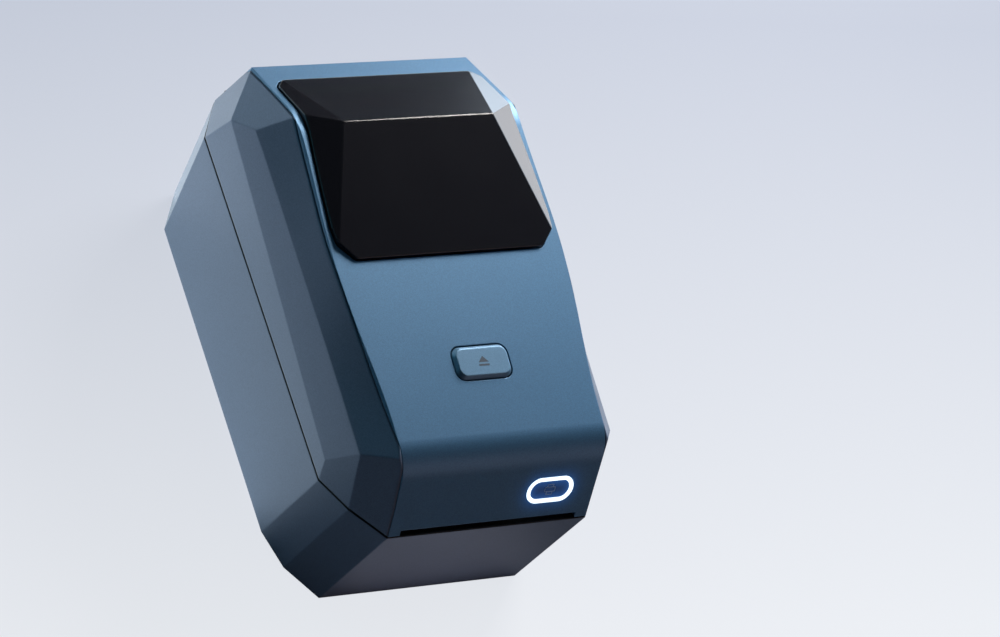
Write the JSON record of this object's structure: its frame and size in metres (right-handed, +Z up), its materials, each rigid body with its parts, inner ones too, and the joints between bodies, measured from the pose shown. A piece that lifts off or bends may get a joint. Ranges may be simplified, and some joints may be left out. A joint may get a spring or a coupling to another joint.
{
  "type": "portable label printer",
  "caption": "Portable label printer with a rear-hinged faceted lid over the label roll, a dark raised window, a release button on top and a lit print button on the sloping front.",
  "frame": {"origin": "middle of the footprint, on the surface that the feet stand on", "axes": "+X to the right seen from the front, +Y to the hinge at the rear, +Z up"},
  "size_m": [0.084, 0.1328, 0.0668],
  "materials": {
    "case_plastic": "satin with a fine metallic grain",
    "panel_plastic": "satin with a fine metallic grain",
    "window_plastic": "polished dark tint",
    "gasket_rubber": "matte",
    "foot_rubber": "matte",
    "screw_steel": "blackened",
    "pin_steel": "ground",
    "battery_wrap": "shrunk film",
    "circuit_board": "solder mask",
    "chip_black": "moulded",
    "inner_plastic": "fine spark-eroded grain",
    "motor_steel": "plated",
    "pinion_brass": "cut",
    "gear_plastic": "moulded",
    "platen_rubber": "ground matte",
    "head_ceramic": "glazed edge",
    "sink_aluminium": "as extruded",
    "spring_steel": "drawn wire",
    "blade_steel": "stamped",
    "guide_plastic": "moulded",
    "label_paper": "smooth coated",
    "core_cardboard": "spiral wound",
    "light_guide": "frosted, lit",
    "key_plastic": "satin gloss",
    "button_plastic": "satin with a fine metallic grain",
    "latch_plastic": "moulded"
  },
  "bodies": {
    "base": {"base_shell": "case_plastic", "bottom_cover": "case_plastic", "rubber_feet": "foot_rubber", "bottom_screws": "screw_steel", "battery_pack": "battery_wrap", "main_board": "circuit_board", "board_chips": "chip_black", "usb_socket": "pin_steel", "print_chassis": "inner_plastic", "gear_posts": "pin_steel", "catch_pins": "pin_steel", "stepper_motor": "motor_steel", "head_pivot_pin": "pin_steel", "tear_bar": "blade_steel", "feed_plate": "inner_plastic", "label_sensor": "chip_black", "roll_tub": "inner_plastic", "hinge_pins": "pin_steel"},
    "lid": {"lid_shell": "case_plastic", "top_panel": "panel_plastic", "window": "window_plastic", "window_gasket": "gasket_rubber", "lid_frame": "inner_plastic", "lid_screws": "screw_steel", "platen_bushes": "gear_plastic", "light_ring": "light_guide", "button_board": "circuit_board", "panel_switch": "chip_black", "board_screws": "screw_steel"},
    "open_button": {"open_button": "button_plastic", "button_springs": "spring_steel"},
    "latch": {"latch_bar": "latch_plastic"},
    "print_button": {"print_button": "key_plastic"},
    "platen": {"platen_roller": "platen_rubber", "platen_shaft": "pin_steel", "platen_gear": "gear_plastic"},
    "upper_idler": {"upper_idler_gear": "gear_plastic"},
    "lower_idler": {"lower_idler_gear": "gear_plastic"},
    "motor_rotor": {"motor_pinion": "pinion_brass", "motor_shaft": "pin_steel"},
    "head": {"print_head": "head_ceramic", "heat_sink": "sink_aluminium", "head_springs": "spring_steel"},
    "left_guide": {"left_roll_guide": "guide_plastic"},
    "right_guide": {"right_roll_guide": "guide_plastic"},
    "guide_gear": {"guide_pinion": "gear_plastic"},
    "roll": {"label_roll": "label_paper", "roll_core": "core_cardboard"}
  },
  "joints": [
    {"name": "lid_hinge", "type": "hinge", "parent": "base", "child": "lid", "pos_m": [0, 0.0643, 0.0315], "axis": [-1, 0, 0], "range_deg": [0, 85]},
    {"name": "open_button_press", "type": "slide", "parent": "lid", "child": "open_button", "axis": [0, 0.0653, -0.9979], "range_m": [0, 0.0012], "stiffness_N_per_m": 300, "springref_m": -0.001, "deforming": ["button_springs"]},
    {"name": "latch_release", "type": "hinge", "parent": "lid", "child": "latch", "pos_m": [0, -0.0238, 0.0488], "axis": [1, 0, 0], "range_deg": [0, 14]},
    {"name": "print_button_press", "type": "slide", "parent": "lid", "child": "print_button", "axis": [0, 0.8314, -0.5557], "range_m": [0, 0.0004], "stiffness_N_per_m": 300, "springref_m": -0.0004},
    {"name": "platen_spin", "type": "hinge", "parent": "lid", "child": "platen", "pos_m": [0, -0.0459, 0.0436], "axis": [1, 0, 0], "continuous": true},
    {"name": "upper_idler_spin", "type": "hinge", "parent": "base", "child": "upper_idler", "pos_m": [0, -0.0379, 0.034], "axis": [1, 0, 0], "continuous": true},
    {"name": "lower_idler_spin", "type": "hinge", "parent": "base", "child": "lower_idler", "pos_m": [0, -0.02991, 0.02312], "axis": [1, 0, 0], "continuous": true},
    {"name": "motor_spin", "type": "hinge", "parent": "base", "child": "motor_rotor", "pos_m": [0, -0.02144, 0.02005], "axis": [1, 0, 0], "continuous": true},
    {"name": "print_head_float", "type": "hinge", "parent": "base", "child": "head", "pos_m": [0, -0.0304, 0.0356], "axis": [1, 0, 0], "range_deg": [0, 1.5], "stiffness_Nm_per_rad": 0.05, "springref_deg": -5.73, "deforming": ["head_springs"]},
    {"name": "left_guide_slide", "type": "slide", "parent": "base", "child": "left_guide", "axis": [-1, 0, 0], "range_m": [0, 0.008]},
    {"name": "right_guide_slide", "type": "slide", "parent": "base", "child": "right_guide", "axis": [1, 0, 0], "range_m": [0, 0.008]},
    {"name": "guide_pinion_spin", "type": "hinge", "parent": "base", "child": "guide_gear", "pos_m": [0, 0.0216, 0.0039], "axis": [0, 0, 1], "range_deg": [-80, 0]},
    {"name": "label_roll_spin", "type": "hinge", "parent": "base", "child": "roll", "pos_m": [0, 0.0216, 0.0346], "axis": [1, 0, 0], "continuous": true}
  ],
  "couplings": [
    {"joint": "latch_release", "follows": "open_button_press", "rad_per_m": 200},
    {"joint": "upper_idler_spin", "follows": "platen_spin", "ratio": -0.66667},
    {"joint": "lower_idler_spin", "follows": "platen_spin", "ratio": 0.83333},
    {"joint": "motor_spin", "follows": "platen_spin", "ratio": -1.6667},
    {"joint": "right_guide_slide", "follows": "left_guide_slide", "ratio": 1},
    {"joint": "guide_pinion_spin", "follows": "left_guide_slide", "rad_per_m": -166.67}
  ]
}
